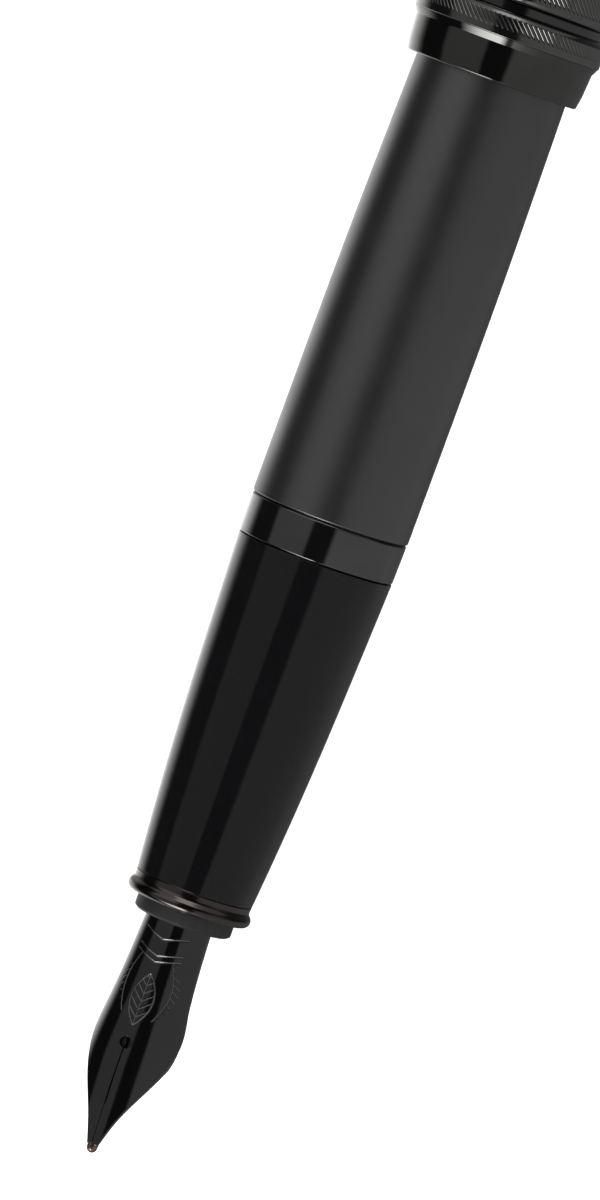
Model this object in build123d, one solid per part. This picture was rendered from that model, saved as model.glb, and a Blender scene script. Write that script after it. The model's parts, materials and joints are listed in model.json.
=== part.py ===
from build123d import *
import math
import os

# A fountain pen with its cap posted on the tail of the barrel.
#
# The pen lies on its side: its axis runs along X, the nib points to -X and +Z is up.
# The origin is under the middle of the pen, on the surface that it lies on.
# Stations are distances along the axis from the tip of the nib, in millimetres, and
# every turned piece is an outline of (station, radius) points revolved about the axis.

# ---- driving dimensions -------------------------------------------------------------
TOTAL_LENGTH = 156.0        # tip of the nib to the top of the posted cap
LARGEST_RADIUS = 7.69       # over the knurled bands, which the pen lies on
FIT = 0.03                  # radial gap between pieces that are pressed or screwed together
RUN = 0.06                  # radial gap of a running fit

# nib
NIB_ROLL = 18.0             # turn of the nib about the pen's axis, towards +Y
NIB_PIVOT = 19.9            # station where the nib's sloping front meets its straight tail
NIB_SLOPE = 5.8             # slope of the front's own axis, in degrees
NIB_THICKNESS = 0.45
NIB_TAIL_RADIUS = 2.93
NIB_TAIL_END = 33.0
NIB_LOWEST = 0.3            # the sheet stays above this height over the pen's axis
BREATHER_STATION = 9.4
BREATHER_RADIUS = 0.5
SLIT_WIDTH = 0.07
TIPPING_RADIUS = 0.52
TIPPING_HEIGHT = 1.72       # of the ball's centre over the pen's axis

# feed
FEED_FRONT = 4.2
FEED_RADIUS = 2.45
FEED_SEAT_RADIUS = 2.90
FEED_END = 34.0
FEED_POST_RADIUS = 1.15
FIN_FIRST, FIN_LAST, FIN_PITCH, FIN_GAP = 10.0, 18.6, 0.78, 0.36

# nib housing and grip section
COLLAR_FRONT, COLLAR_BACK, COLLAR_RADIUS = 19.6, 20.9, 4.03
HOUSING_RADIUS, HOUSING_END = 3.85, 36.0
NIPPLE_RADIUS, NIPPLE_END = 2.2, 41.8
SECTION_FRONT, SECTION_BACK = 22.6, 50.5
SECTION_BORE = 3.95
TENON_RADIUS, TENON_END = 5.55, 53.6
SLEEVE_FRONT, SLEEVE_END, SLEEVE_BORE = 47.2, 66.0, 4.05
SLEEVE_SEAT_RADIUS, THREAD_RADIUS, THREAD_LENGTH = 4.9, 5.2, 6.0
TRIM_BACK = 53.8

# barrel
BARREL_RADIUS = 6.5
BARREL_PARALLEL_END = 69.0  # the barrel is a true cylinder from its mouth to here
BARREL_BACK = 120.2
MOUTH_RADIUS = 5.95
INSERT_FRONT, INSERT_END, INSERT_RADIUS = 55.3, 66.5, 5.75
BARREL_BORE, BARREL_BACK_BORE, BARREL_BORE_END = 5.74, 4.95, 114.0
TAIL_BORE = 4.2
BODY_LENGTH = 123.5

# converter
MOUTHPIECE_FRONT, MOUTHPIECE_BACK, MOUTHPIECE_RADIUS = 36.3, 45.0, 3.7
TUBE_FRONT, TUBE_BACK, TUBE_RADIUS, TUBE_BORE = 43.2, 86.0, 3.5, 2.95
FERRULE_FRONT, FERRULE_BACK, FERRULE_RADIUS = 84.0, 95.2, 3.72
KNOB_FRONT, KNOB_BACK, KNOB_RADIUS = 95.4, 106.0, 3.3
STEM_FRONT, STEM_BACK, STEM_RADIUS, STEM_BORE = 48.6, 73.0, 1.9, 1.15
SPINDLE_FRONT = 70.0

# cap
LIP_FRONT, LIP_SHOULDER, LIP_BORE = 90.7, 94.2, 6.58
BAND_SEAT, BAND_SEAT_END = 6.97, 104.0
LOWER_BAND_BACK, GROOVE_BACK, UPPER_BAND_BACK = 96.3, 97.0, 102.4
GROOVE_RADIUS = 7.08
CAP_TUBE_RADIUS, CAP_TUBE_TOP_RADIUS, CAP_TUBE_BACK = 7.6, 7.3, 148.0
CAP_BORE, CAP_STEP, CAP_TOP_BORE = 6.9, 126.4, 6.6
CAP_FLOOR = 146.6
LINER_BACK = 145.5
SEAL_SEAT = 123.95          # shoulder in the inner cap that stops the barrel's tail
CLIP_RING_BACK = 149.0
CLIP_WIDTH, CLIP_THICKNESS, CLIP_OUTER = 3.0, 0.8, 10.0
CLIP_TIP = 112.0
CLIP_TURN = 130.8           # turn of the clip about the axis from straight up
SCREW_RADIUS, SCREW_END = 1.6, 153.4
SCREW_HEAD_RADIUS, SCREW_HEAD_DEPTH = 3.0, 0.9


# ---- helpers ------------------------------------------------------------------------
def turned(*outline):
    """A solid of revolution about the pen's axis from a closed outline."""
    return revolve(make_face(Polyline(*outline, close=True)), axis=Axis.X)


def turned_curve(curve, *rest):
    """As turned, with a smooth curve through its first points."""
    smooth = Spline(*curve)
    straight = Polyline(curve[-1], *rest, curve[0])
    return revolve(make_face(smooth + straight), axis=Axis.X)


def tube(front, back, bore, radius):
    """A plain tube between two stations."""
    return turned((front, bore), (back, bore), (back, radius), (front, radius))


def rod(front, back, radius):
    """A plain rod between two stations."""
    return turned((front, 0), (back, 0), (back, radius), (front, radius))


def block(front, back, side_a, side_b, low, high):
    """A box between two stations, two sideways places and two heights."""
    box = Box(back - front, side_b - side_a, high - low)
    return Pos((front + back) / 2, (side_a + side_b) / 2, (low + high) / 2) * box


def around(piece, count):
    """The piece, repeated evenly around the pen's axis."""
    return [Rot(360 * k / count, 0, 0) * piece for k in range(count)]


def thread_rings(front, back, pitch, root, crest):
    """Parallel rings that stand for a thread's crests."""
    rings = []
    for k in range(int((back - front) / pitch)):
        at = front + k * pitch
        rings.append(turned((at, root), (at + pitch * 0.75, root),
                            (at + pitch * 0.5, crest), (at + pitch * 0.25, crest)))
    return rings


def save(name, piece):
    """Writes one node, moved from the pen's own stations to the model's frame."""
    placed = Pos(-TOTAL_LENGTH / 2, 0, LARGEST_RADIUS) * piece
    placed.label = name
    export_step(placed, f"parts/{name}.step")


# ---- nib unit -----------------------------------------------------------------------
def nib_surface(inset):
    """The solid inside the nib's front, inset from its outer face, about its sloping axis."""
    crown = [(-19.9, 4.02), (-15.9, 4.10), (-12.0, 4.14), (-8.0, 3.69), (0.6, 2.88)]
    curve = [(x, r - inset) for x, r in crown]
    body = turned_curve(curve, (curve[-1][0], 0), (curve[0][0], 0))
    return Pos(NIB_PIVOT, 0, 0) * Rot(0, -NIB_SLOPE, 0) * body


def plan_form(half_widths, low, high):
    """A plate with the outline seen from above, the same on both sides of the slit."""
    left = Spline(*half_widths)
    right = mirror(left, about=Plane.XZ)
    front_x, front_w = half_widths[0]
    back_x, back_w = half_widths[-1]
    front = Line((front_x, front_w), (front_x, -front_w))
    back = Line((back_x, back_w), (back_x, -back_w))
    return Pos(0, 0, low) * extrude(make_face(left + right + front + back), high - low)


def tipping_ball():
    return Pos(TIPPING_RADIUS, 0, TIPPING_HEIGHT) * Sphere(TIPPING_RADIUS)


def slit():
    return block(-1, BREATHER_STATION, -SLIT_WIDTH / 2, SLIT_WIDTH / 2, -1, 6)


def nib():
    outline = [(0.7, 0.44), (3.2, 1.27), (6.3, 2.66), (8.3, 3.36), (9.8, 3.6),
               (12.6, 3.36), (NIB_PIVOT, 2.76)]
    front = nib_surface(0) - nib_surface(NIB_THICKNESS)
    front &= plan_form(outline, NIB_LOWEST, 5)
    tail = tube(NIB_PIVOT, NIB_TAIL_END, NIB_TAIL_RADIUS - NIB_THICKNESS, NIB_TAIL_RADIUS)
    tail_outline = [(NIB_PIVOT, 2.76), (26.0, 2.6), (NIB_TAIL_END, 2.0)]
    tail &= plan_form(tail_outline, NIB_LOWEST, 5)
    hole = Pos(BREATHER_STATION, 0, 3) * Cylinder(BREATHER_RADIUS, 4)
    return front + tail - hole - slit() - tipping_ball()


def nib_tipping():
    return tipping_ball() - slit()


def feed():
    front = nib_surface(NIB_THICKNESS + 2 * FIT) & rod(FEED_FRONT, NIB_PIVOT, FEED_RADIUS)
    front &= plan_form([(FEED_FRONT, 0.5), (8.0, 1.75), (11.0, 2.2), (NIB_PIVOT, 2.35)], -4, 4)
    belly = Spline((FEED_FRONT, 1.45), (7.0, 0.2), (10.5, -1.5), (14.0, -2.2))
    under = Polyline((14.0, -2.2), (NIB_PIVOT, -2.5), (NIB_PIVOT, 4), (FEED_FRONT, 4),
                     (FEED_FRONT, 1.45))
    side = extrude(Rot(90, 0, 0) * make_face(belly + under), 4, both=True)
    front &= side
    for k in range(int((FIN_LAST - FIN_FIRST) / FIN_PITCH) + 1):
        at = FIN_FIRST + k * FIN_PITCH
        gap = block(at, at + FIN_GAP, -4, 4, -4, 0.5)
        core = block(at, at + FIN_GAP, -0.8, 0.8, -1.0, 0.5)
        front -= gap - core
    seat_low = rod(NIB_PIVOT, FEED_END, FEED_SEAT_RADIUS)
    seat_low &= block(NIB_PIVOT, FEED_END, -4, 4, -4, NIB_LOWEST - 0.1)
    seat_high = rod(NIB_PIVOT, FEED_END, NIB_TAIL_RADIUS - NIB_THICKNESS - FIT)
    post = rod(FEED_END, NIPPLE_END + 0.5, FEED_POST_RADIUS)
    channel = block(FEED_FRONT - 1, FEED_END - 2, -0.15, 0.15, 1.7, 4)
    return front + seat_low + seat_high + post - channel


# ---- grip section -------------------------------------------------------------------
def nib_housing():
    bore = NIB_TAIL_RADIUS + FIT
    post_bore = FEED_POST_RADIUS + RUN
    body = turned(
        (COLLAR_FRONT, bore), (COLLAR_FRONT, COLLAR_RADIUS - 0.25),
        (COLLAR_FRONT + 0.2, COLLAR_RADIUS), (COLLAR_BACK, COLLAR_RADIUS),
        (COLLAR_BACK, HOUSING_RADIUS), (HOUSING_END, HOUSING_RADIUS),
        (HOUSING_END, NIPPLE_RADIUS), (NIPPLE_END - 0.4, NIPPLE_RADIUS),
        (NIPPLE_END, NIPPLE_RADIUS - 0.3), (NIPPLE_END, post_bore),
        (FEED_END + 0.4, post_bore), (FEED_END + 0.4, bore))
    return body


def section_front_ring():
    return turned(
        (COLLAR_BACK + 0.02, SECTION_BORE), (COLLAR_BACK + 0.02, 4.86),
        (21.1, 5.05), (21.3, 5.12), (21.5, 5.12), (21.7, 5.04), (21.95, 4.84),
        (22.15, 4.8), (SECTION_FRONT - 0.05, 4.84), (SECTION_FRONT - 0.05, SECTION_BORE))


def grip_section():
    outer = [(SECTION_FRONT, 4.84), (27.7, 5.26), (35.6, 5.77), (43.5, 6.13),
             (SECTION_BACK, 6.40)]
    sleeve_bore = SLEEVE_SEAT_RADIUS + FIT
    return turned_curve(
        outer, (SECTION_BACK, TENON_RADIUS), (TENON_END, TENON_RADIUS),
        (TENON_END, sleeve_bore), (SLEEVE_FRONT - 0.1, sleeve_bore),
        (SLEEVE_FRONT - 0.1, SECTION_BORE), (SECTION_FRONT, SECTION_BORE))


def section_thread_sleeve():
    root = THREAD_RADIUS - 0.25
    body = turned(
        (SLEEVE_FRONT, SLEEVE_BORE), (SLEEVE_FRONT, SLEEVE_SEAT_RADIUS),
        (TRIM_BACK, SLEEVE_SEAT_RADIUS), (TRIM_BACK, THREAD_RADIUS),
        (INSERT_FRONT, THREAD_RADIUS), (INSERT_FRONT, root),
        (SLEEVE_END, root), (SLEEVE_END, SLEEVE_BORE))
    thread_end = INSERT_FRONT + 0.6 + THREAD_LENGTH
    for ring in thread_rings(INSERT_FRONT + 0.6, thread_end, 1.0, root - 0.1, THREAD_RADIUS):
        body += ring
    return body


def trim_ring():
    bore = TENON_RADIUS + FIT
    front, back = SECTION_BACK + 0.04, TRIM_BACK
    return turned(
        (front, bore), (front, 6.28), (front + 0.12, 6.41), (back - 0.12, 6.46),
        (back, 6.34), (back, bore))


# ---- barrel -------------------------------------------------------------------------
def barrel_o_ring():
    section = Pos(54.5, 5.62, 0) * Circle(0.34)
    return revolve(section, axis=Axis.X)


def barrel_shell():
    front = TRIM_BACK + 0.05
    insert_bore = INSERT_RADIUS + FIT
    taper = [(BARREL_PARALLEL_END, BARREL_RADIUS), (79.0, 6.42), (90.1, 6.225),
             (105.0, 5.95), (BARREL_BACK, 5.66)]
    curve = Spline(*taper, tangents=[(1, 0), (1, -0.02)])
    rest = Polyline(
        taper[-1], (BARREL_BACK, TAIL_BORE), (BARREL_BORE_END, TAIL_BORE),
        (BARREL_BORE_END, BARREL_BACK_BORE), (INSERT_END + 0.3, BARREL_BORE),
        (INSERT_END + 0.3, insert_bore), (INSERT_FRONT - 0.05, insert_bore),
        (INSERT_FRONT - 0.05, MOUTH_RADIUS + RUN), (front, MOUTH_RADIUS + RUN),
        (front, BARREL_RADIUS - 0.12), (front + 0.12, BARREL_RADIUS), taper[0])
    return revolve(make_face(curve + rest), axis=Axis.X)


def barrel_thread_insert():
    crest = THREAD_RADIUS + RUN
    return tube(INSERT_FRONT, INSERT_END, crest, INSERT_RADIUS)


def barrel_end_plug():
    shank = TAIL_BORE - FIT
    front = BARREL_BORE_END + 0.5
    dome = Spline((BARREL_BACK + 0.7, 5.64), (122.6, 5.2), (BODY_LENGTH, 3.4),
                  tangents=[(1, -0.03), (0, -1)])
    rest = Polyline((BODY_LENGTH, 3.4), (BODY_LENGTH, 0), (front, 0), (front, shank),
                    (BARREL_BACK + 0.05, shank), (BARREL_BACK + 0.05, 5.5),
                    (BARREL_BACK + 0.7, 5.64))
    return revolve(make_face(dome + rest), axis=Axis.X)


# ---- converter ----------------------------------------------------------------------
def converter_mouth():
    seat = TUBE_RADIUS + FIT
    return turned(
        (MOUTHPIECE_FRONT, NIPPLE_RADIUS + RUN), (MOUTHPIECE_FRONT, MOUTHPIECE_RADIUS - 0.3),
        (MOUTHPIECE_FRONT + 0.3, MOUTHPIECE_RADIUS), (MOUTHPIECE_BACK, MOUTHPIECE_RADIUS),
        (MOUTHPIECE_BACK, seat), (TUBE_FRONT - 0.1, seat),
        (TUBE_FRONT - 0.1, NIPPLE_RADIUS + RUN))


def converter_tube():
    return tube(TUBE_FRONT, TUBE_BACK, TUBE_BORE, TUBE_RADIUS)


def converter_ferrule():
    """The metal sleeve at the tube's back, with the guide that the stem runs in."""
    seat = TUBE_RADIUS + FIT
    guide = STEM_RADIUS + RUN
    return turned(
        (FERRULE_FRONT, seat), (FERRULE_FRONT, FERRULE_RADIUS - 0.1),
        (FERRULE_FRONT + 0.1, FERRULE_RADIUS), (FERRULE_BACK - 0.2, FERRULE_RADIUS),
        (FERRULE_BACK, FERRULE_RADIUS - 0.2), (FERRULE_BACK, guide),
        (TUBE_BACK + 0.1, guide), (TUBE_BACK + 0.1, seat))


def converter_knob():
    body = turned(
        (KNOB_FRONT, 0), (KNOB_FRONT, KNOB_RADIUS - 0.2), (KNOB_FRONT + 0.2, KNOB_RADIUS),
        (KNOB_BACK - 0.5, KNOB_RADIUS), (KNOB_BACK, KNOB_RADIUS - 0.5), (KNOB_BACK, 0))
    body -= rod(KNOB_FRONT - 1, KNOB_FRONT + 4, STEM_BORE)
    groove = block(KNOB_FRONT + 1.2, KNOB_BACK - 1.2, -0.2, 0.2, KNOB_RADIUS - 0.22, 5)
    for cut in around(groove, 20):
        body -= cut
    return body


def converter_spindle():
    crest = STEM_BORE - RUN
    root = crest - 0.2
    body = rod(SPINDLE_FRONT, KNOB_FRONT + 3.9, root)
    for ring in thread_rings(SPINDLE_FRONT + 0.5, KNOB_FRONT - 0.6, 1.3, root - 0.1, crest):
        body += ring
    return body


def converter_piston_stem():
    body = tube(STEM_FRONT, STEM_BACK, STEM_BORE, STEM_RADIUS)
    return body + rod(STEM_FRONT - 2.2, STEM_FRONT + 0.6, STEM_BORE + 0.2)


def converter_piston_seal():
    bore = STEM_BORE + 0.2 + FIT
    radius = TUBE_BORE - 0.04
    front = STEM_FRONT - 2.3
    return turned(
        (front, bore), (front, radius - 0.1), (front + 0.3, radius), (front + 0.7, radius),
        (front + 0.9, radius - 0.3), (front + 1.3, radius - 0.3), (front + 1.5, radius),
        (front + 1.9, radius), (front + 2.2, radius - 0.1), (front + 2.2, bore))


# ---- cap ----------------------------------------------------------------------------
def cap_lip_ring():
    front = LIP_FRONT
    return turned(
        (front, LIP_BORE + 0.1), (front, 6.94), (front + 0.1, 7.04), (91.7, 7.19),
        (92.9, 7.28), (93.6, 7.32), (LIP_SHOULDER - 0.06, 7.6), (LIP_SHOULDER - 0.02, 7.62),
        (LIP_SHOULDER - 0.02, BAND_SEAT - FIT), (BAND_SEAT_END, BAND_SEAT - FIT),
        (BAND_SEAT_END, LIP_BORE), (front + 0.1, LIP_BORE))


def knurled_band(front, back, front_bevel, back_bevel):
    """A band with the knurl's outer size and its plain bevels."""
    edge = LARGEST_RADIUS
    return turned(
        (front, BAND_SEAT), (front, edge - front_bevel), (front + front_bevel, edge),
        (back - back_bevel, edge), (back, edge - back_bevel), (back, BAND_SEAT))


def cap_knurled_band_lower():
    return knurled_band(LIP_SHOULDER, LOWER_BAND_BACK, 0.06, 0.5)


def cap_groove_ring():
    return tube(LOWER_BAND_BACK + 0.02, GROOVE_BACK - 0.02, BAND_SEAT, GROOVE_RADIUS)


def cap_knurled_band_upper():
    return knurled_band(GROOVE_BACK, UPPER_BAND_BACK, 0.5, 0.25)


def cap_tube():
    front = UPPER_BAND_BACK + 0.02
    parallel_end = 132.0
    taper = Spline((parallel_end, CAP_TUBE_RADIUS), (CAP_TUBE_BACK, CAP_TUBE_TOP_RADIUS),
                   tangents=[(1, 0), (1, -0.035)])
    rest = Polyline(
        (CAP_TUBE_BACK, CAP_TUBE_TOP_RADIUS), (CAP_TUBE_BACK, SCREW_RADIUS + FIT),
        (CAP_FLOOR, SCREW_RADIUS + FIT), (CAP_FLOOR, CAP_TOP_BORE), (CAP_STEP, CAP_TOP_BORE),
        (CAP_STEP, CAP_BORE), (BAND_SEAT_END + 0.05, CAP_BORE),
        (BAND_SEAT_END + 0.05, BAND_SEAT), (front, BAND_SEAT), (front, CAP_TUBE_RADIUS - 0.12),
        (front + 0.12, CAP_TUBE_RADIUS), (parallel_end, CAP_TUBE_RADIUS))
    return revolve(make_face(taper + rest), axis=Axis.X)


def inner_cap():
    """The plastic liner: it grips the barrel's tail, and its shoulder seals on the section."""
    outer, top_outer = CAP_BORE - FIT, CAP_TOP_BORE - FIT
    wide, grip, nib_room = 6.3, 5.8, 4.5
    floor = LINER_BACK
    return turned(
        (BAND_SEAT_END + 0.5, wide), (BAND_SEAT_END + 0.5, outer), (CAP_STEP - 0.1, outer),
        (CAP_STEP - 0.1, top_outer), (floor, top_outer), (floor, 0), (floor - 0.7, 0),
        (floor - 0.7, nib_room), (SEAL_SEAT, nib_room), (SEAL_SEAT, grip), (116.0, grip),
        (114.5, wide))


def clip_ring():
    """The washer under the finial that carries the clip, with its upturned tab."""
    washer = tube(CAP_TUBE_BACK + 0.02, CLIP_RING_BACK, SCREW_RADIUS + FIT, 7.15)
    tab = block(CAP_TUBE_BACK + 0.02, CLIP_RING_BACK, -CLIP_WIDTH / 2, CLIP_WIDTH / 2,
                4.0, CLIP_OUTER - 1.6)
    return Rot(CLIP_TURN, 0, 0) * (washer + tab)


def clip():
    """The spring blade, from its bend at the ring to the dimple that meets the cloth."""
    inner = CLIP_OUTER - CLIP_THICKNESS
    root_low = CLIP_OUTER - 1.52
    crown = Spline((CLIP_TIP, 8.92), (CLIP_TIP + 1.6, 8.62), (CLIP_TIP + 4.6, 9.25),
                   (CLIP_TIP + 12.0, CLIP_OUTER), tangents=[(0.2, -1), (1, 0)])
    back = Polyline(
        (CLIP_TIP + 12.0, CLIP_OUTER), (CLIP_RING_BACK - 0.6, CLIP_OUTER),
        (CLIP_RING_BACK, CLIP_OUTER - 0.6), (CLIP_RING_BACK, root_low),
        (CAP_TUBE_BACK + 0.02, root_low), (CAP_TUBE_BACK + 0.02, inner),
        (CLIP_TIP + 12.5, inner))
    belly = Spline((CLIP_TIP + 12.5, inner), (CLIP_TIP + 5.2, 8.45), (CLIP_TIP + 1.9, 7.82),
                   (CLIP_TIP - 0.6, 8.75), tangents=[(-1, 0), (-0.4, 1)])
    nose = Line((CLIP_TIP - 0.6, 8.75), (CLIP_TIP, 8.92))
    blade = extrude(Rot(90, 0, 0) * make_face(crown + back + belly + nose),
                    CLIP_WIDTH / 2, both=True)
    return Rot(CLIP_TURN, 0, 0) * blade


def cap_spring_washer():
    return tube(CLIP_RING_BACK + 0.02, CLIP_RING_BACK + 0.4, SCREW_RADIUS + FIT, 3.2)


def cap_screw():
    """The screw that pulls the finial down on the clip's ring, its head inside the cap."""
    head = rod(CAP_FLOOR - SCREW_HEAD_DEPTH, CAP_FLOOR - 0.02, SCREW_HEAD_RADIUS)
    shank = rod(CAP_FLOOR - 0.1, SCREW_END, SCREW_RADIUS)
    slot = block(CAP_FLOOR - 1, CAP_FLOOR - 0.45, -0.3, 0.3, -4, 4)
    return head + shank - slot


def cap_top():
    """The finial: a hollow button with a fine groove, and a boss for the screw."""
    front, back = CLIP_RING_BACK + 0.02, TOTAL_LENGTH
    boss, cavity, cavity_back = 3.3, 5.6, 152.6
    return turned(
        (front, cavity), (front, 7.0), (front + 0.15, 7.15), (front + 1.2, 7.12),
        (front + 1.4, 6.8), (front + 1.7, 6.8), (front + 1.9, 7.08), (back - 1.0, 6.85),
        (back - 0.35, 6.6), (back, 6.1), (back, 0), (SCREW_END + 0.2, 0),
        (SCREW_END + 0.2, SCREW_RADIUS + FIT), (front + 0.5, SCREW_RADIUS + FIT),
        (front + 0.5, boss), (cavity_back, boss), (cavity_back, cavity))


# ---- the nodes ----------------------------------------------------------------------
PIECES = {
    "nib": lambda: Rot(-NIB_ROLL, 0, 0) * nib(),
    "nib_tipping": lambda: Rot(-NIB_ROLL, 0, 0) * nib_tipping(),
    "feed": lambda: Rot(-NIB_ROLL, 0, 0) * feed(),
    "nib_housing": nib_housing,
    "section_front_ring": section_front_ring,
    "grip_section": grip_section,
    "section_thread_sleeve": section_thread_sleeve,
    "trim_ring": trim_ring,
    "barrel_o_ring": barrel_o_ring,
    "barrel_shell": barrel_shell,
    "barrel_thread_insert": barrel_thread_insert,
    "barrel_end_plug": barrel_end_plug,
    "converter_mouth": converter_mouth,
    "converter_tube": converter_tube,
    "converter_ferrule": converter_ferrule,
    "converter_knob": converter_knob,
    "converter_spindle": converter_spindle,
    "converter_piston_stem": converter_piston_stem,
    "converter_piston_seal": converter_piston_seal,
    "cap_lip_ring": cap_lip_ring,
    "cap_knurled_band_lower": cap_knurled_band_lower,
    "cap_groove_ring": cap_groove_ring,
    "cap_knurled_band_upper": cap_knurled_band_upper,
    "cap_tube": cap_tube,
    "inner_cap": inner_cap,
    "clip_ring": clip_ring,
    "clip": clip,
    "cap_spring_washer": cap_spring_washer,
    "cap_screw": cap_screw,
    "cap_top": cap_top,
}

os.makedirs("parts", exist_ok=True)
for name, make in PIECES.items():
    save(name, make())
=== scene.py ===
"""A black fountain pen with its cap posted on the barrel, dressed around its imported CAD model.

The pen lies along X with its nib towards -X. Stations are millimetres from the tip of the nib
along the pen's axis, as in the part's own source, and meshes are built in metres.
"""
import bpy
import bmesh
import json
import math
import numpy as np
from mathutils import Matrix, Vector


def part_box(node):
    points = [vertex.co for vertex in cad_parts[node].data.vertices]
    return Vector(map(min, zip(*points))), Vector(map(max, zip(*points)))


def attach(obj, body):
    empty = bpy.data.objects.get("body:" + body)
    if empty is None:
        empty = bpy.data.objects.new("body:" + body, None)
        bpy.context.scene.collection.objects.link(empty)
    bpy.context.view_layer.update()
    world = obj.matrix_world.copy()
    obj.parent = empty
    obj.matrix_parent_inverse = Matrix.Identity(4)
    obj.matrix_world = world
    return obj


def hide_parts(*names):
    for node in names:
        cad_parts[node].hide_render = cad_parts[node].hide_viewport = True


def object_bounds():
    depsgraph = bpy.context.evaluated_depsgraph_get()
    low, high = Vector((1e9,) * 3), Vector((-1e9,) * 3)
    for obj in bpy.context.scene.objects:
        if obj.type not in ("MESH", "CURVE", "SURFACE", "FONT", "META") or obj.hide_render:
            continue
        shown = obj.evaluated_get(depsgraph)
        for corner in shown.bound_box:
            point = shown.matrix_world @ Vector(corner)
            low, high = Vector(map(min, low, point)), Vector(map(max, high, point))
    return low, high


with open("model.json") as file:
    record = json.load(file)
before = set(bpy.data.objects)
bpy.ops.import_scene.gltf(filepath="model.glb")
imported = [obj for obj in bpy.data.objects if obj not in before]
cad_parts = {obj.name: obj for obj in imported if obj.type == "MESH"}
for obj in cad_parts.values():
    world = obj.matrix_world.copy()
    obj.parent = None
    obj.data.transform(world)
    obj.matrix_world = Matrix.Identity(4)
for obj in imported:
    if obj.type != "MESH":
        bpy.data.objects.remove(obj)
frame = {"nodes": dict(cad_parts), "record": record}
cad_box = [list(corner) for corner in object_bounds()]

MM = 0.001
RECORD = frame["record"]
SLOT_OF = {part["node"]: part["material_slot"] for part in RECORD["subparts"]}
BODY_OF = {node: body for body, nodes in RECORD["behaviour"]["bodies"].items() for node in nodes}
TIP_X = cad_box[0][0]
BARREL_LOW, BARREL_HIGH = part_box("barrel_shell")
AXIS_Z = (BARREL_LOW.z + BARREL_HIGH.z) / 2

# ---- nib dimensions, in millimetres, as in the part's source -----------------------------------
NIB_ROLL = math.radians(18.0)       # turn of the nib about the pen's axis, towards +Y
NIB_PIVOT = 19.9
NIB_SLOPE = math.radians(5.8)
NIB_CROWN = [(-19.9, 4.02), (-15.9, 4.10), (-12.0, 4.14), (-8.0, 3.69), (0.6, 2.88)]
NIB_THICKNESS = 0.45
NIB_TAIL_RADIUS, NIB_TAIL_END = 2.93, 33.0
NIB_LOWEST = 0.3
NIB_FRONT = 0.7
NIB_OUTLINE = [(0.7, 0.44), (3.2, 1.27), (6.3, 2.66), (8.3, 3.36), (9.8, 3.6),
               (12.6, 3.36), (19.9, 2.76)]
NIB_TAIL_OUTLINE = [(19.9, 2.76), (26.0, 2.6), (33.0, 2.0)]
HOLE_STATION, HOLE_RADIUS = 9.4, 0.5
SLIT_HALF = 0.035
TIP_HEIGHT = 1.72
PELLET_FRONT, PELLET_BACK = 0.5, 0.75       # reach of the tipping either side of its widest place
PELLET_HALF_WIDTH, PELLET_HALF_HEIGHT = 0.45, 0.5

MERGE = 2e-6            # points of a CAD mesh that are nearer than this are one, in metres
TINY = 1e-6             # a length that counts as nothing


def world_x(station):
    return TIP_X + station * MM


# ---- mesh helpers ------------------------------------------------------------------------------
def spline(points, step):
    """Points about a step apart on the natural cubic curve through the given points."""
    p = np.array(points, float)
    n = len(p)
    h = np.linalg.norm(np.diff(p, axis=0), axis=1)
    system = np.zeros((n, n))
    right = np.zeros_like(p)
    system[0, 0] = system[-1, -1] = 1
    for i in range(1, n - 1):
        system[i, i - 1:i + 2] = h[i - 1], 2 * (h[i - 1] + h[i]), h[i]
        right[i] = 6 * ((p[i + 1] - p[i]) / h[i] - (p[i] - p[i - 1]) / h[i - 1])
    bend = np.linalg.solve(system, right)
    curve = []
    for i in range(n - 1):
        count = max(2 if n > 2 else 1, math.ceil(h[i] / step))
        for k in range(count):
            u = h[i] * k / count
            v = h[i] - u
            curve.append(bend[i] * v ** 3 / (6 * h[i]) + bend[i + 1] * u ** 3 / (6 * h[i])
                         + (p[i] / h[i] - bend[i] * h[i] / 6) * v
                         + (p[i + 1] / h[i] - bend[i + 1] * h[i] / 6) * u)
    curve.append(p[-1])
    return np.array(curve)


def turn(a, b, c):
    """The change of direction at b, in degrees, on the way from a to c."""
    first, second = b - a, c - b
    cross = first[0] * second[1] - first[1] * second[0]
    return abs(math.degrees(math.atan2(cross, first @ second)))


def read_outline(node):
    """A turned node's outline as (x, radius) points, and whether it closes clear of the axis."""
    bm = bmesh.new()
    bm.from_mesh(frame["nodes"][node].data)
    bmesh.ops.remove_doubles(bm, verts=bm.verts, dist=MERGE)
    for normal, clear in (((0, 1, 0), True), ((0, 0, 1), False)):
        everything = bm.verts[:] + bm.edges[:] + bm.faces[:]
        cut = bmesh.ops.bisect_plane(bm, geom=everything, dist=0.1 * MERGE,
                                     plane_co=(0, 0, AXIS_Z), plane_no=normal,
                                     clear_inner=clear)["geom_cut"]
    links = {}
    for edge in cut:
        if isinstance(edge, bmesh.types.BMEdge) and edge.verts[0].co.y + edge.verts[1].co.y > TINY:
            a, b = edge.verts
            links.setdefault(a, []).append(b)
            links.setdefault(b, []).append(a)
    ends = [v for v in links if len(links[v]) == 1]
    walk = [ends[0] if ends else next(iter(links))]
    previous = None
    while True:
        onward = [v for v in links[walk[-1]] if v is not previous]
        if not onward or onward[0] is walk[0]:
            break
        previous = walk[-1]
        walk.append(onward[0])
    points = [np.array((v.co.x, max(v.co.y, 0.0))) for v in walk]
    bm.free()
    return points, not ends


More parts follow.
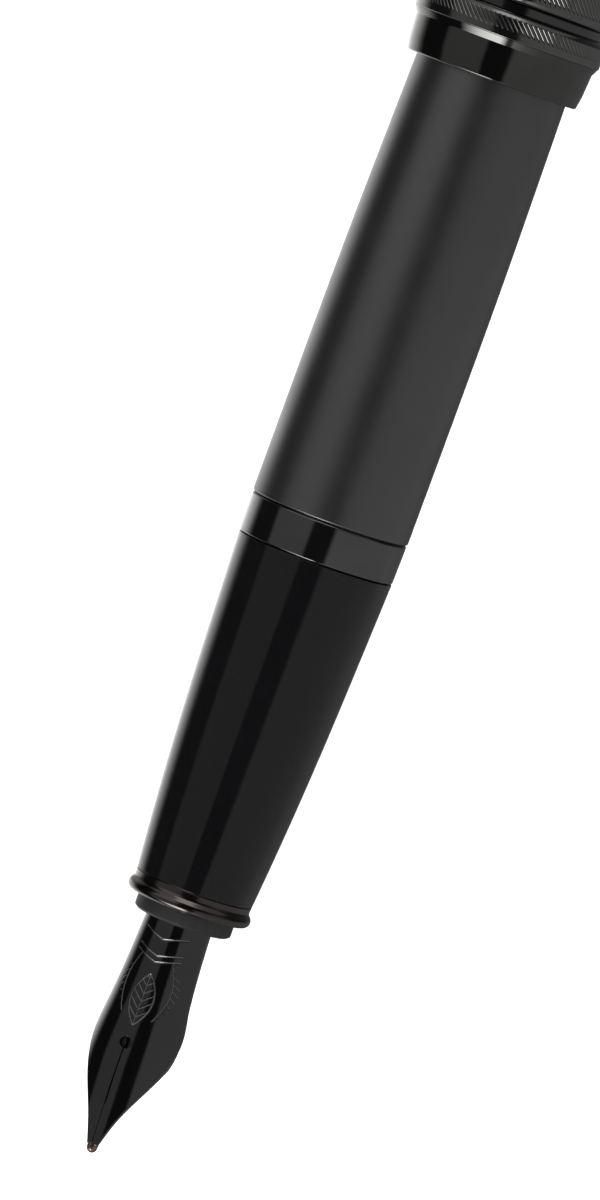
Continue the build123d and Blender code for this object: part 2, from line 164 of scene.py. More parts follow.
CURVE_TURN = 16.0       # a smaller turn, in degrees, is a point on a smooth curve
BEAD_TURN = 35.0        # the same for the front ring, which is a bead all over
EDGE_ROUNDING = 0.05 * MM
EDGE_POINTS = 5         # points along one rounding
LARGEST_SHARE = 0.42    # most of a short side that one rounding may take
SUPPORT = 0.03 * MM     # distance from a rounding to the points that keep its flats flat
SUPPORT_SHARE = 0.05
CURVE_STEP = 0.8 * MM


def refine_outline(points, closed, curve_turn):
    """The outline with its curves smoothed and each corner rounded, ready to be revolved."""
    n = len(points)
    corners = [i for i in range(n)
               if (not closed and i in (0, n - 1))
               or turn(points[i - 1], points[i], points[(i + 1) % n]) >= curve_turn] or [0]
    if closed:
        points = points[corners[0]:] + points[:corners[0]]
        corners = [i - corners[0] for i in corners] + [n]
        points = points + [points[0]]
    dense, is_corner = [], []
    for a, b in zip(corners, corners[1:]):
        straight = b - a == 1
        run = spline(points[a:b + 1], math.inf if straight else CURVE_STEP)
        dense += list(run[:-1])
        is_corner += [True] + [False] * (len(run) - 2)
    if not closed:
        dense.append(points[-1])
        is_corner.append(True)
    result = []
    count = len(dense)
    for i, p in enumerate(dense):
        at_end = not closed and i in (0, count - 1)
        if at_end or not is_corner[i]:
            result.append(p)
            continue
        before, after = dense[i - 1], dense[(i + 1) % count]
        to_before, to_after = before - p, after - p
        shorter = min(np.linalg.norm(to_before), np.linalg.norm(to_after))
        t = min(LARGEST_SHARE * shorter, EDGE_ROUNDING)
        to_before = to_before / np.linalg.norm(to_before)
        to_after = to_after / np.linalg.norm(to_after)
        extra = min(SUPPORT, SUPPORT_SHARE * shorter)
        result.append(p + to_before * (t + extra))
        for u in np.linspace(0, 1, EDGE_POINTS):
            result.append(p + to_before * t * (1 - u) ** 2 + to_after * t * u ** 2)
        result.append(p + to_after * (t + extra))
    return result


def make_object(name, bm):
    """A smooth-shaded object from a bmesh, whose faces are turned outwards."""
    bmesh.ops.recalc_face_normals(bm, faces=bm.faces)
    mesh = bpy.data.meshes.new(name)
    bm.to_mesh(mesh)
    bm.free()
    mesh.polygons.foreach_set("use_smooth", [True] * len(mesh.polygons))
    piece = bpy.data.objects.new(name, mesh)
    bpy.context.scene.collection.objects.link(piece)
    return piece


def unique(verts):
    """The vertices in their order, each one once."""
    return list(dict.fromkeys(verts))


def revolve(name, outline, closed, segments):
    """A solid of revolution about the pen's axis."""
    bm = bmesh.new()
    angles = np.linspace(0, 2 * math.pi, segments, endpoint=False)
    rings = []
    for x, radius in outline:
        if radius < 0.1 * TINY:
            rings.append([bm.verts.new((x, 0, AXIS_Z))])
        else:
            rings.append([bm.verts.new((x, radius * math.sin(a), AXIS_Z + radius * math.cos(a)))
                          for a in angles])
    pairs = list(zip(rings, rings[1:]))
    if closed:
        pairs.append((rings[-1], rings[0]))
    for a, b in pairs:
        for k in range(segments):
            corners = unique((a[k % len(a)], a[(k + 1) % len(a)],
                              b[(k + 1) % len(b)], b[k % len(b)]))
            if len(corners) > 2:
                bm.faces.new(corners)
    return make_object(name, bm)


def wear(piece, node):
    """Puts a new piece on its node's body, in its node's place, with its node's finish."""
    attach(piece, BODY_OF[node])
    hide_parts(node)
    piece.data.materials.clear()
    piece.data.materials.append(finish(node))


# ---- materials ---------------------------------------------------------------------------------
def nodes_of(name, base, metallic, roughness):
    """A new material with its Principled shader, and a helper that adds nodes."""
    mat = bpy.data.materials.new(name)
    mat.use_nodes = True
    tree = mat.node_tree
    shader = tree.nodes["Principled BSDF"]
    shader.inputs["Base Color"].default_value = (*base, 1)
    shader.inputs["Metallic"].default_value = metallic
    shader.inputs["Roughness"].default_value = roughness

    def add(kind, **settings):
        node = tree.nodes.new(kind)
        for key, value in settings.items():
            if key.startswith("in_"):
                node.inputs[key[3:].replace("_", " ")].default_value = value
            else:
                setattr(node, key, value)
        return node

    return mat, tree, shader, add


def noise(tree, add, scale, detail, stretch=None):
    """A noise value over the piece's own coordinates, whose scale is in cells per metre."""
    coordinates = add("ShaderNodeTexCoord")
    texture = add("ShaderNodeTexNoise", in_Scale=scale, in_Detail=detail)
    source = coordinates.outputs["Object"]
    if stretch:
        mapping = add("ShaderNodeMapping")
        mapping.inputs["Scale"].default_value = stretch
        tree.links.new(source, mapping.inputs["Vector"])
        source = mapping.outputs["Vector"]
    tree.links.new(source, texture.inputs["Vector"])
    return texture.outputs["Fac"]


def spread(tree, add, value, low, high):
    """The noise value mapped to a range."""
    ramp = add("ShaderNodeMapRange", in_From_Min=0.3, in_From_Max=0.7,
               in_To_Min=low, in_To_Max=high)
    tree.links.new(value, ramp.inputs["Value"])
    return ramp.outputs["Result"]


def tint(tree, add, value, dark, light):
    """The noise value mapped to a colour between two."""
    mix = add("ShaderNodeMix", data_type="RGBA")
    mix.inputs["A"].default_value = (*dark, 1)
    mix.inputs["B"].default_value = (*light, 1)
    tree.links.new(value, mix.inputs["Factor"])
    return mix.outputs["Result"]


def bump(tree, add, shader, value, distance, strength):
    """Uses the noise value as a fine relief on the surface."""
    node = add("ShaderNodeBump", in_Distance=distance, in_Strength=strength)
    tree.links.new(value, node.inputs["Height"])
    tree.links.new(node.outputs["Normal"], shader.inputs["Normal"])


def lacquer(name, base, roughness):
    """Satin black lacquer: a fine powdery grain and slight unevenness of sheen."""
    mat, tree, shader, add = nodes_of(name, base, 0.0, roughness)
    grain = noise(tree, add, scale=9000, detail=3)
    cloud = noise(tree, add, scale=260, detail=4)
    dark = tuple(0.85 * c for c in base)
    light = tuple(1.2 * c for c in base)
    tree.links.new(tint(tree, add, grain, dark, light), shader.inputs["Base Color"])
    shader.inputs["Specular IOR Level"].default_value = 1.0
    shader.inputs["IOR"].default_value = 1.8
    sheen = spread(tree, add, cloud, roughness - 0.025, roughness + 0.025)
    tree.links.new(sheen, shader.inputs["Roughness"])
    bump(tree, add, shader, grain, distance=0.006 * MM, strength=0.5)
    return mat


def resin(name, base, roughness):
    """Polished black resin with faint smears that only its reflections show."""
    mat, tree, shader, add = nodes_of(name, base, 0.0, roughness)
    smear = noise(tree, add, scale=170, detail=5, stretch=(0.5, 1, 1))
    tree.links.new(spread(tree, add, smear, 0.6 * roughness, 1.8 * roughness),
                   shader.inputs["Roughness"])
    swirl = noise(tree, add, scale=2500, detail=2, stretch=(0.2, 1, 1))
    dark = tuple(0.8 * c for c in base)
    light = tuple(1.25 * c for c in base)
    tree.links.new(tint(tree, add, smear, dark, light), shader.inputs["Base Color"])
    bump(tree, add, shader, swirl, distance=0.0008 * MM, strength=0.35)
    return mat


def turned_metal(name, base, roughness, marks=0.0012 * MM):
    """Plated metal with fine marks that run around the pen, as a lathe leaves them."""
    mat, tree, shader, add = nodes_of(name, base, 1.0, roughness)
    lines = noise(tree, add, scale=1000, detail=3, stretch=(14, 0.35, 0.35))
    cloud = noise(tree, add, scale=500, detail=4)
    dark = tuple(0.86 * c for c in base)
    light = tuple(1.14 * c for c in base)
    tree.links.new(tint(tree, add, cloud, dark, light), shader.inputs["Base Color"])
    tree.links.new(spread(tree, add, lines, 0.75 * roughness, 1.35 * roughness),
                   shader.inputs["Roughness"])
    bump(tree, add, shader, lines, distance=marks, strength=0.5)
    return mat


def plastic(name, base, roughness):
    """Moulded plastic with a fine spark-eroded grain."""
    mat, tree, shader, add = nodes_of(name, base, 0.0, roughness)
    value = noise(tree, add, scale=7000, detail=3)
    dark = tuple(0.88 * c for c in base)
    light = tuple(1.14 * c for c in base)
    tree.links.new(tint(tree, add, value, dark, light), shader.inputs["Base Color"])
    tree.links.new(spread(tree, add, value, roughness - 0.05, roughness + 0.05),
                   shader.inputs["Roughness"])
    bump(tree, add, shader, value, distance=0.004 * MM, strength=0.5)
    return mat


COATING = (0.10, 0.097, 0.097)
CUT_COATING = (0.36, 0.355, 0.35)
CUT_ROUGHNESS = 0.28    # added to the coating's own where the engraving is


def engraved_nib(name):
    """The nib's black coating, which is brighter where the engraving cuts into it."""
    mat, tree, shader, add = nodes_of(name, COATING, 1.0, 0.09)
    cut = add("ShaderNodeAttribute", attribute_name="engraved")
    colour = tint(tree, add, cut.outputs["Fac"], COATING, CUT_COATING)
    tree.links.new(colour, shader.inputs["Base Color"])
    polish = noise(tree, add, scale=1500, detail=4, stretch=(0.25, 1, 1))
    smooth = spread(tree, add, polish, 0.06, 0.13)
    rough = add("ShaderNodeMath", operation="MULTIPLY_ADD")
    rough.inputs[1].default_value = CUT_ROUGHNESS
    tree.links.new(cut.outputs["Fac"], rough.inputs[0])
    tree.links.new(smooth, rough.inputs[2])
    tree.links.new(rough.outputs[0], shader.inputs["Roughness"])
    bump(tree, add, shader, polish, distance=0.0015 * MM, strength=0.35)
    return mat


def clear_plastic(name):
    """The converter's transparent tube."""
    mat, tree, shader, add = nodes_of(name, (0.93, 0.95, 0.96), 0.0, 0.04)
    shader.inputs["Transmission Weight"].default_value = 1.0
    shader.inputs["IOR"].default_value = 1.49
    smear = noise(tree, add, scale=300, detail=4)
    tree.links.new(spread(tree, add, smear, 0.02, 0.09), shader.inputs["Roughness"])
    return mat


# The finish of each material slot of the record, made from the material's name.
FINISHES = {
    "black_nib": engraved_nib,
    "tipping_alloy": lambda n: turned_metal(n, (0.34, 0.24, 0.21), 0.2),
    "feed_plastic": lambda n: plastic(n, (0.004, 0.004, 0.0045), 0.5),
    "collar_plastic": lambda n: plastic(n, (0.0095, 0.0095, 0.010), 0.55),
    "gunmetal_ring": lambda n: turned_metal(n, (0.112, 0.099, 0.095), 0.15),
    "gloss_black": lambda n: resin(n, (0.0018, 0.0018, 0.0021), 0.045),
    "brass": lambda n: turned_metal(n, (0.72, 0.50, 0.24), 0.28, 0.003 * MM),
    "black_ring": lambda n: turned_metal(n, (0.150, 0.150, 0.153), 0.075),
    "knurl_metal": lambda n: turned_metal(n, (0.165, 0.163, 0.160), 0.12),
    "groove_black": lambda n: turned_metal(n, (0.10, 0.10, 0.102), 0.10),
    "seal_rubber": lambda n: plastic(n, (0.014, 0.014, 0.014), 0.6),
    "matte_lacquer": lambda n: lacquer(n, (0.0034, 0.0034, 0.0037), 0.34),
    "converter_black": lambda n: resin(n, (0.010, 0.010, 0.011), 0.12),
    "clear_tube": clear_plastic,
    "polished_steel": lambda n: turned_metal(n, (0.60, 0.60, 0.61), 0.16),
    "white_plastic": lambda n: plastic(n, (0.72, 0.72, 0.70), 0.35),
    "liner_plastic": lambda n: plastic(n, (0.022, 0.022, 0.024), 0.38),
    "black_clip": lambda n: turned_metal(n, (0.105, 0.105, 0.108), 0.09),
}
# Nodes whose finish differs a little from that of the rest of their slot.
NODE_FINISHES = {
    "cap_lip_ring": lambda n: turned_metal(n, (0.106, 0.105, 0.102), 0.075),
}
made_finishes = {}


def finish(node):
    """The material of a node, made once for each slot of the record."""
    key, makers = (node, NODE_FINISHES) if node in NODE_FINISHES else (SLOT_OF[node], FINISHES)
    if key not in made_finishes:
        made_finishes[key] = makers[key](f"look_{key}")
    return made_finishes[key]


for node_name, node_object in frame["nodes"].items():
    node_object.data.materials.clear()
    node_object.data.materials.append(finish(node_name))

# ---- turned pieces -----------------------------------------------------------------------------
OUTER_TURNED = ["nib_housing", "section_front_ring", "grip_section", "trim_ring", "barrel_shell",
                "barrel_end_plug", "cap_lip_ring", "cap_groove_ring", "cap_tube", "inner_cap",
                "cap_top"]
INNER_TURNED = ["barrel_o_ring", "barrel_thread_insert", "converter_mouth", "converter_tube",
                "converter_ferrule", "converter_piston_stem", "converter_piston_seal",
                "cap_spring_washer"]
OUTER_SEGMENTS, INNER_SEGMENTS = 176, 96
for node_name in OUTER_TURNED + INNER_TURNED:
    node_points, node_closed = read_outline(node_name)
    node_turn = BEAD_TURN if node_name == "section_front_ring" else CURVE_TURN
    rounded = refine_outline(node_points, node_closed, node_turn)
    node_segments = OUTER_SEGMENTS if node_name in OUTER_TURNED else INNER_SEGMENTS
    wear(revolve(f"{node_name}_turned", rounded, node_closed, node_segments), node_name)


# ---- knurled bands -----------------------------------------------------------------------------
FLUTES = 110
FLUTE_DEPTH = 0.045 * MM
CREST_END = 0.60        # share of each flute's pitch that stays whole
FLUTE_SAMPLES = [0.0, 0.05, 0.55, 0.60, 0.64, 0.72, 0.78, 0.82, 0.88, 0.96]
FLUTE_RUN_OUT = 0.08 * MM
FLUTE_MARGINS = {"cap_knurled_band_lower": 0.6 * MM, "cap_knurled_band_upper": 0.85 * MM}
BEVEL_DROP = 0.62       # the plain bevels fall by this much of their length
BAND_WALL = 0.1 * MM    # an outline point this far above the bore is on the band's outside
BEVEL_STEP = 0.03 * MM  # between the rows of points beside a bevel
BEVEL_ROWS = range(-5, 3)
ROW_STEP, ROW_MARGIN = 0.3 * MM, 0.2 * MM


def flute_depth(phase):
    """The depth of the V groove at a place across one flute, from 0 to 1 round the band."""
    if phase <= CREST_END:
        return 0.0
    across = (phase - CREST_END) / (1 - CREST_END)
    return FLUTE_DEPTH * (1 - abs(2 * across - 1))


def knurled_band(node, front_margin):
    """A band whose flutes climb around it at 45 degrees, from a plain margin to its back bevel."""
    points, _ = read_outline(node)
    bore = min(p[1] for p in points)
    crest = max(p[1] for p in points)
    front, back = min(p[0] for p in points), max(p[0] for p in points)
    profile = sorted((p for p in points if p[1] > bore + BAND_WALL), key=lambda p: p[0])
    profile_x = [p[0] for p in profile]
    profile_r = [crest - BEVEL_DROP * (crest - p[1]) for p in profile]
    rows = [front, back]
    crest_ends = [p[0] for p in profile if p[1] > crest - TINY]
    for x in crest_ends:
        inward = 1 if x < (front + back) / 2 else -1
        rows += [x + inward * BEVEL_STEP * k for k in BEVEL_ROWS]
    rows += list(np.arange(crest_ends[0] + ROW_MARGIN, profile_x[-1] - ROW_MARGIN, ROW_STEP))
    rows += list(front + front_margin + FLUTE_RUN_OUT * np.linspace(0, 1, 4))
    rows = sorted(set(round(min(max(x, front), back), 8) for x in rows))
    bm = bmesh.new()
    rings = []
    for x in rows:
        bevelled = np.interp(x, profile_x, profile_r)
        cut = min(max((x - front - front_margin) / FLUTE_RUN_OUT, 0.0), 1.0)
        ring = []
        for flute in range(FLUTES):
            for phase in FLUTE_SAMPLES:
                angle = (flute + phase) * 2 * math.pi / FLUTES + (x - front) / crest
                radius = min(bevelled, crest - cut * flute_depth(phase))
                ring.append(bm.verts.new((x, radius * math.sin(angle),
                                          AXIS_Z + radius * math.cos(angle))))
        rings.append(ring)
    for x, angle_shift in ((back, (back - front) / crest), (front, 0.0)):
        rings.append([])
        for flute in range(FLUTES):
            for phase in FLUTE_SAMPLES:
                angle = (flute + phase) * 2 * math.pi / FLUTES + angle_shift
                rings[-1].append(bm.verts.new((x, bore * math.sin(angle),
                                               AXIS_Z + bore * math.cos(angle))))
    count = len(rings[0])
    for a, b in zip(rings, rings[1:] + rings[:1]):
        for k in range(count):
            bm.faces.new((a[k], a[(k + 1) % count], b[(k + 1) % count], b[k]))
    wear(make_object(f"{node}_fluted", bm), node)


for node_name, margin in FLUTE_MARGINS.items():
    knurled_band(node_name, margin)


# ---- nib ---------------------------------------------------------------------------------------
crown = spline(NIB_CROWN, 0.1)
plan = np.vstack([spline(NIB_OUTLINE, 0.05)[:-1], spline(NIB_TAIL_OUTLINE, 0.1)])


def half_width(x):
    """The half width of the nib's plan form at a station."""
    return np.interp(x, plan[:, 0], plan[:, 1])


def nib_height(x, y, inset):
    """The height over the pen's axis of the nib's sheet, inset from its outer face."""
    if x >= NIB_PIVOT:
        return math.sqrt(max((NIB_TAIL_RADIUS - inset) ** 2 - y * y, 0.0))
    t = x - NIB_PIVOT
    for _ in range(6):
        radius = np.interp(t, crown[:, 0], crown[:, 1]) - inset
        rise = math.sqrt(max(radius ** 2 - y * y, 0.0))
        t = (x - NIB_PIVOT + rise * math.sin(NIB_SLOPE)) / math.cos(NIB_SLOPE)
    return t * math.sin(NIB_SLOPE) + rise * math.cos(NIB_SLOPE)


LINE = 0.062            # half width of an engraved line
THIN, THINNER = 0.015, 0.02         # added to the distance from a line that is cut finer
ENGRAVING_DEPTH = 0.03
ENGRAVING_FRONT, ENGRAVING_BACK = 6.9, 19.0
LEAF_FRONT, LEAF_BACK, LEAF_HALF = 10.9, 15.2, 0.95
VEIN_PITCH, VEIN_SLANT = 0.66, 0.9
FROND_FRONT, FROND_BACK = 11.6, 16.6
FROND_SIDE, FROND_BOW = 0.75, 1.25
LEAFLET_PITCH, LEAFLET_SLANT, LEAFLET_LENGTH = 0.56, 0.7, 0.5
CHEVRONS = (16.2, 16.7, 18.1)
CHEVRON_SLANT, CHEVRON_HALF = 0.30, 1.9


def line_gap(offset, slant):
    """The distance from a line with this slant, from the offset along the nib."""
    return abs(offset) / math.hypot(1, slant)


def row_gap(offset, pitch, slant):
    """The distance from the nearest of a row of parallel lines."""
    beyond = offset % pitch
    return line_gap(min(beyond, pitch - beyond), slant)


def engraved(x, y):
    """How deep a plain leaf, two fronds beside it and the lines behind are cut, from 0 to 1."""
    side = abs(y)
    gaps = [1.0]
    middle, reach = (LEAF_FRONT + LEAF_BACK) / 2, (LEAF_BACK - LEAF_FRONT) / 2
    along = (x - middle) / reach
    if abs(along) < 1:
        edge = LEAF_HALF * (1 - along * along)
        gaps.append(line_gap(edge - side, 2 * LEAF_HALF * along / reach))
        gaps.append(side)
        if side < edge:
            vein = x - VEIN_SLANT * side - LEAF_FRONT
            gaps.append(row_gap(vein, VEIN_PITCH, VEIN_SLANT) + THINNER)
    share = (x - FROND_FRONT) / (FROND_BACK - FROND_FRONT)
    if 0 < share < 1:
        stem = FROND_SIDE + FROND_BOW * math.sin(math.pi * (0.15 + 0.7 * share))
        gaps.append(abs(side - stem) + THIN)
        if 0 < side - stem < LEAFLET_LENGTH * math.sin(math.pi * share):
            leaflet = x + LEAFLET_SLANT * (side - stem) - FROND_FRONT
            gaps.append(row_gap(leaflet, LEAFLET_PITCH, LEAFLET_SLANT) + THINNER)
    if side < CHEVRON_HALF:
        gaps += [line_gap(x - start - CHEVRON_SLANT * side, CHEVRON_SLANT) for start in CHEVRONS]
    fade = min(max((min(gaps) - 0.3 * LINE) / (0.7 * LINE), 0.0), 1.0)
    return 1 - fade * fade * (3 - 2 * fade)


def nib_place(x, y, z):
    """A place on the nib, in millimetres over the pen's axis, moved to the model's frame."""
    turned_y = y * math.cos(NIB_ROLL) + z * math.sin(NIB_ROLL)
    turned_z = -y * math.sin(NIB_ROLL) + z * math.cos(NIB_ROLL)
    return world_x(x), turned_y * MM, AXIS_Z + turned_z * MM


HOLE_FRONT, HOLE_BACK = HOLE_STATION - HOLE_RADIUS, HOLE_STATION + HOLE_RADIUS
TINE_STEP, BODY_STEP = 0.05, 0.036
NIB_COLUMNS, UNDER_COLUMNS = 96, 8
NIB_EDGE = [(0.06, 0.0), (0.035, 0.006), (0.015, 0.022), (0.0, 0.055)]      # inset and drop
SLIT_EDGE = [(0.0, 0.03), (0.02, 0.006)]
LEAST_THICKNESS = 0.1   # where the lowest height would leave less of the sheet


def nib_rows():
    """The stations of the nib's rows of points, which are close together under the engraving."""
    tip = list(np.linspace(NIB_FRONT, ENGRAVING_FRONT, 56))
    tines = list(np.arange(ENGRAVING_FRONT + TINE_STEP, HOLE_FRONT - 0.2 * TINE_STEP, TINE_STEP))
    hole = [HOLE_STATION - HOLE_RADIUS * math.cos(u) for u in np.linspace(0, math.pi, 37)]
    body = list(np.arange(HOLE_BACK + BODY_STEP, ENGRAVING_BACK, BODY_STEP))
    tail = list(np.linspace(ENGRAVING_BACK + TINE_STEP, NIB_TAIL_END, 30))
    return tip + tines + hole + body + tail


def make_nib():
    """The nib's sheet with its slit, breather hole, engraving and softened edges."""
    bm = bmesh.new()
    cut = bm.verts.layers.float.new("engraved")
    for side in (1, -1):
        rings = []
        for x in nib_rows():
            split = x < HOLE_BACK - TINY
            slit = SLIT_HALF if x < HOLE_STATION else 0.0
            in_hole = math.sqrt(max(HOLE_RADIUS ** 2 - (x - HOLE_STATION) ** 2, 0.0))
            inner = max(slit, in_hole) if split else 0.0
            outer = half_width(x)
            flat = outer - NIB_EDGE[0][0] - inner
            places = [(inner + flat * k / NIB_COLUMNS, 0.0) for k in range(NIB_COLUMNS)]
            places += [(outer - inset, drop) for inset, drop in NIB_EDGE]
            if split:
                places[:1] = [(inner + inset, drop) for inset, drop in SLIT_EDGE]
            else:
                places.insert(1, (0.5 * (places[0][0] + places[1][0]), 0.0))
            ring = []
            for y, drop in places:
                depth = engraved(x, y) if ENGRAVING_FRONT < x < ENGRAVING_BACK else 0.0
                z = nib_height(x, y, ENGRAVING_DEPTH * depth) - drop
                vert = bm.verts.new(nib_place(x, side * y, z))
                vert[cut] = depth
                ring.append(vert)
            for k in range(UNDER_COLUMNS + 1):
                y = outer + (inner - outer) * k / UNDER_COLUMNS
                z = max(nib_height(x, y, NIB_THICKNESS), NIB_LOWEST)
                z = min(z, nib_height(x, y, LEAST_THICKNESS))
                ring.append(bm.verts.new(nib_place(x, side * y, z)))
            rings.append((ring, split))
        for (a, a_split), (b, b_split) in zip(rings, rings[1:]):
            wall_too = a_split and b_split
            for k in range(len(a) if wall_too else len(a) - 1):
                bm.faces.new((a[k], a[(k + 1) % len(a)], b[(k + 1) % len(a)], b[k]))
        bm.faces.new(rings[0][0])
        bm.faces.new(rings[-1][0])
    bmesh.ops.remove_doubles(bm, verts=bm.verts, dist=0.1 * TINY)
    wear(make_object("nib_engraved", bm), "nib")


make_nib()


PELLET_AROUND, PELLET_LAYERS = 56, 24


def make_tipping():
    """The two halves of the tipping, polished to one long pellet and parted by the slit."""
    bm = bmesh.new()
    lowest = math.asin(SLIT_HALF / PELLET_HALF_WIDTH)
    for side in (1, -1):
        rings = []
        for lift in np.linspace(lowest, math.pi / 2, PELLET_LAYERS):
            y, share = PELLET_HALF_WIDTH * math.sin(lift), math.cos(lift)
            count = PELLET_AROUND if share > TINY else 1
            ring = []
            for a in np.linspace(0, 2 * math.pi, count, endpoint=False):
                reach = PELLET_BACK if math.cos(a) > 0 else PELLET_FRONT
                ring.append(bm.verts.new(nib_place(
                    PELLET_FRONT + reach * share * math.cos(a), side * y,
                    TIP_HEIGHT + PELLET_HALF_HEIGHT * share * math.sin(a))))
            rings.append(ring)
        for a, b in zip(rings, rings[1:]):
            for k in range(PELLET_AROUND):
                bm.faces.new(unique((a[k], a[(k + 1) % PELLET_AROUND],
                                     b[(k + 1) % len(b)], b[k % len(b)])))
        bm.faces.new(rings[0])
    wear(make_object("nib_tipping_halves", bm), "nib_tipping")


make_tipping()


# ---- clip --------------------------------------------------------------------------------------
FLAT_ANGLE, SHARP_ANGLE = math.radians(0.5), math.radians(25)


def bevelled_copy(node, name, width, segments):
    """A copy of a CAD node with its flats merged and its edges rounded."""
    bm = bmesh.new()
    bm.from_mesh(frame["nodes"][node].data)
    bmesh.ops.remove_doubles(bm, verts=bm.verts, dist=MERGE)
    bmesh.ops.dissolve_limit(bm, angle_limit=FLAT_ANGLE, verts=bm.verts, edges=bm.edges)
    sharp = [e for e in bm.edges
             if len(e.link_faces) == 2 and e.calc_face_angle(0.0) > SHARP_ANGLE]
    bmesh.ops.bevel(bm, geom=sharp, offset=width, segments=segments, profile=0.5,
                    affect="EDGES", clamp_overlap=True)
    piece = make_object(name, bm)
    weighted = piece.modifiers.new("weighted", "WEIGHTED_NORMAL")
    weighted.weight = 80
    wear(piece, node)


bevelled_copy("clip", "clip_blade", width=0.12 * MM, segments=4)
bevelled_copy("clip_ring", "clip_ring_washer", width=0.04 * MM, segments=3)

# ---- camera ------------------------------------------------------------------------------------
PEN_LEAN = math.radians(20.1)       # the pen's lean from the picture's vertical
CAMERA_STATION, CAMERA_HEIGHT = 102.0, 674.0
AIM_STATION = 46.9
LENS = 256.6
NEAREST, FURTHEST = 0.01, 20.0

camera_data = bpy.data.cameras.new("camera")
camera_data.lens = LENS
camera_data.sensor_width = 36.0
camera_data.clip_start, camera_data.clip_end = NEAREST, FURTHEST
camera = bpy.data.objects.new("camera", camera_data)
bpy.context.scene.collection.objects.link(camera)
bpy.context.scene.camera = camera
eye = Vector((world_x(CAMERA_STATION), 0, AXIS_Z + CAMERA_HEIGHT * MM))
aim = Vector((world_x(AIM_STATION), 0, AXIS_Z))
backward = (eye - aim).normalized()
picture_up = Vector((math.cos(PEN_LEAN), math.sin(PEN_LEAN), 0))
right = picture_up.cross(backward).normalized()
up = backward.cross(right)
camera.matrix_world = Matrix.Translation(eye) @ Matrix((right, up, backward)).transposed().to_4x4()

# ---- studio ------------------------------------------------------------------------------------
FLOOR_FLAT, FLOOR_REACH, FLOOR_WALL = 2.6, 3.5, 3.0
FLOOR_SEGMENTS = 96
FLOOR_GLOW = 0.35


def make_floor():
    """A pale floor that curves up into a round wall behind every camera."""
    profile = [(0.0, 0.0), (0.4, 0.0), (1.2, 0.0), (FLOOR_FLAT, 0.0)]
    for u in np.linspace(0, math.pi / 2, 13)[1:]:
        bend = FLOOR_REACH - FLOOR_FLAT
        profile.append((FLOOR_FLAT + bend * math.sin(u), bend * (1 - math.cos(u))))
    profile.append((FLOOR_REACH, FLOOR_WALL))
    bm = bmesh.new()
    rings = []
    for radius, z in profile:
        ring_count = FLOOR_SEGMENTS if radius else 1
        rings.append([bm.verts.new((radius * math.cos(a), radius * math.sin(a), z))
                      for a in np.linspace(0, 2 * math.pi, ring_count, endpoint=False)])
    for a, b in zip(rings, rings[1:]):
        for k in range(FLOOR_SEGMENTS):
            bm.faces.new(unique((a[k % len(a)], a[(k + 1) % len(a)],
                                 b[(k + 1) % FLOOR_SEGMENTS], b[k])))
    floor = make_object("floor", bm)
    floor.visible_glossy = False
    mat, tree, shader, add = nodes_of("floor_white", (0.8, 0.8, 0.8), 0.0, 0.9)
    shader.inputs["Specular IOR Level"].default_value = 0.0
    shader.inputs["Emission Color"].default_value = (1, 1, 1, 1)
    shader.inputs["Emission Strength"].default_value = FLOOR_GLOW
    paper = noise(tree, add, scale=40, detail=3)
    tree.links.new(tint(tree, add, paper, (0.79, 0.79, 0.79), (0.81, 0.81, 0.81)),
                   shader.inputs["Base Color"])
    floor.data.materials.append(mat)


make_floor()

OVERHEAD_POWER, OVERHEAD_SIZE, OVERHEAD_HEIGHT = 200.0, 4.0, 3.2
overhead_data = bpy.data.lights.new("overhead", "AREA")
overhead_data.shape = "SQUARE"
overhead_data.size = OVERHEAD_SIZE
overhead_data.energy = OVERHEAD_POWER
overhead = bpy.data.objects.new("overhead", overhead_data)
overhead.location = (0, 0, OVERHEAD_HEIGHT)
overhead.visible_glossy = False
overhead.visible_camera = False
bpy.context.scene.collection.objects.link(overhead)

# The long soft boxes and black cards that the polished pieces mirror. Each stop is an angle about
# the pen's axis, in degrees from straight up towards +Y, and the brightness there.
POLE_CARDS = [(-180, 0.2), (180, 0.2)]
NIB_END_CARDS = [(-180, 0.1), (-120, 0.28), (-60, 0.34), (-36, 0.5), (-15, 0.9), (-11, 0.15),
                 (-4, 0.15), (0, 2.5), (8, 6.5), (24, 6.5), (44, 5.0), (58, 2.5), (68, 0.9),
                 (74, 0.03), (108, 0.03), (118, 0.9), (150, 1.3), (180, 0.4)]
SIDE_CARDS = [(-180, 0.10), (-150, 0.15), (-136, 0.22), (-120, 0.30), (-90, 0.315), (-17, 0.315),
              (-11.5, 0.03), (17, 0.03), (21, 0.235), (73, 0.235), (79, 0.03), (113, 0.03),
              (120, 0.25), (130, 0.95), (140, 1.3), (165, 1.5), (180, 0.6)]
CAP_SIDE_CARDS = [(-180, 0.12), (-120, 0.06), (-95, 0.05), (-61, 0.16), (-35, 0.06), (-12, 0.02),
                  (12, 0.02), (26, 0.56), (62, 0.56), (76, 0.02), (112, 0.02), (140, 0.6),
                  (180, 0.3)]
CAP_END_CARDS = [(-180, 0.1), (-110, 0.3), (-50, 0.33), (-28, 0.5), (-8, 1.6), (30, 1.6), (44, 0.5),
                 (90, 0.4), (120, 0.5), (150, 1.0), (180, 0.4)]
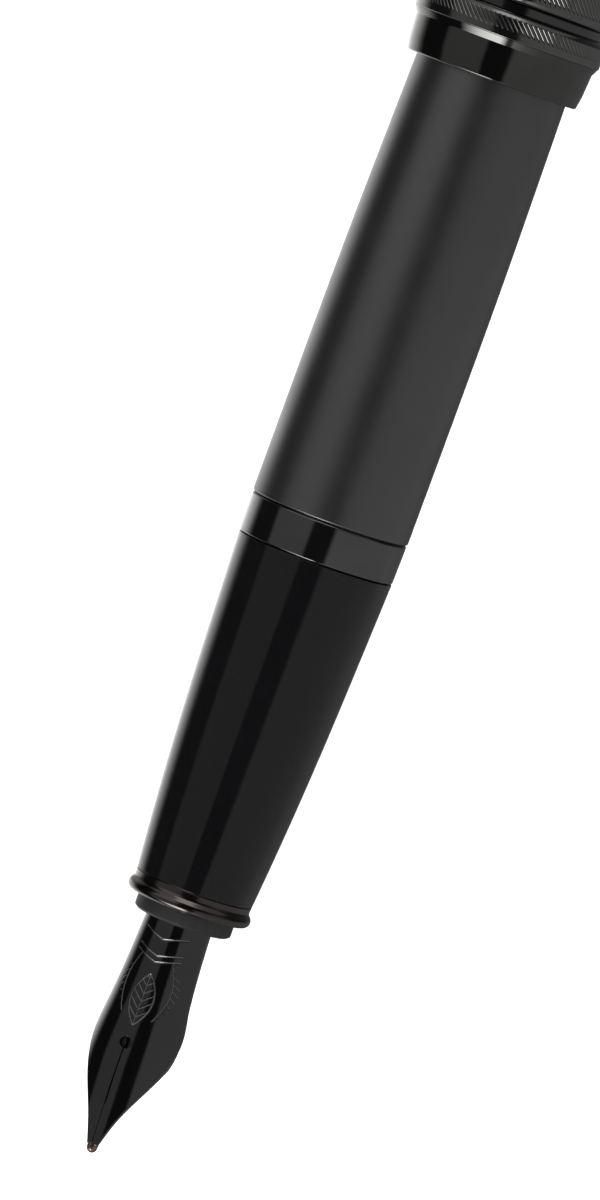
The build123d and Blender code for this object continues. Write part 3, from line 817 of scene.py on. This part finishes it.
# Each set of cards takes over from the one before between two places along X, on a unit sphere.
CARD_ZONES = [(POLE_CARDS, None), (NIB_END_CARDS, (-0.985, -0.955)), (SIDE_CARDS, (-0.70, -0.64)),
              (CAP_SIDE_CARDS, (0.02, 0.09)), (CAP_END_CARDS, (0.66, 0.78)),
              (POLE_CARDS, (0.955, 0.985))]


def make_world():
    """The soft boxes and cards, as a world that only depends on the direction."""
    world = bpy.data.worlds.new("studio")
    world.use_nodes = True
    tree = world.node_tree
    coordinates = tree.nodes.new("ShaderNodeTexCoord")
    parts = tree.nodes.new("ShaderNodeSeparateXYZ")
    tree.links.new(coordinates.outputs["Generated"], parts.inputs["Vector"])
    angle = tree.nodes.new("ShaderNodeMath")
    angle.operation = "ARCTAN2"
    tree.links.new(parts.outputs["Y"], angle.inputs[0])
    tree.links.new(parts.outputs["Z"], angle.inputs[1])
    turn_share = tree.nodes.new("ShaderNodeMath")
    turn_share.operation = "MULTIPLY_ADD"
    turn_share.inputs[1].default_value = 1 / (2 * math.pi)
    turn_share.inputs[2].default_value = 0.5
    tree.links.new(angle.outputs[0], turn_share.inputs[0])
    seen = None
    for cards, border in CARD_ZONES:
        ramp = tree.nodes.new("ShaderNodeValToRGB")
        stops = ramp.color_ramp.elements
        for k, (degrees, level) in enumerate(cards):
            share = (degrees + 180) / 360
            stop = stops[k] if k < 2 else stops.new(share)
            stop.position = share
            stop.color = (level, level, level, 1)
        tree.links.new(turn_share.outputs[0], ramp.inputs["Fac"])
        if seen is None:
            seen = ramp.outputs["Color"]
            continue
        along = tree.nodes.new("ShaderNodeMapRange")
        along.interpolation_type = "SMOOTHSTEP"
        along.inputs["From Min"].default_value, along.inputs["From Max"].default_value = border
        tree.links.new(parts.outputs["X"], along.inputs["Value"])
        mix = tree.nodes.new("ShaderNodeMix")
        mix.data_type = "RGBA"
        tree.links.new(along.outputs["Result"], mix.inputs["Factor"])
        tree.links.new(seen, mix.inputs["A"])
        tree.links.new(ramp.outputs["Color"], mix.inputs["B"])
        seen = mix.outputs["Result"]
    tree.links.new(seen, tree.nodes["Background"].inputs["Color"])
    bpy.context.scene.world = world


make_world()

scene = bpy.context.scene
scene.view_settings.view_transform = "Standard"
scene.view_settings.look = "None"
scene.view_settings.exposure = 0.0
scene.view_settings.gamma = 1.0
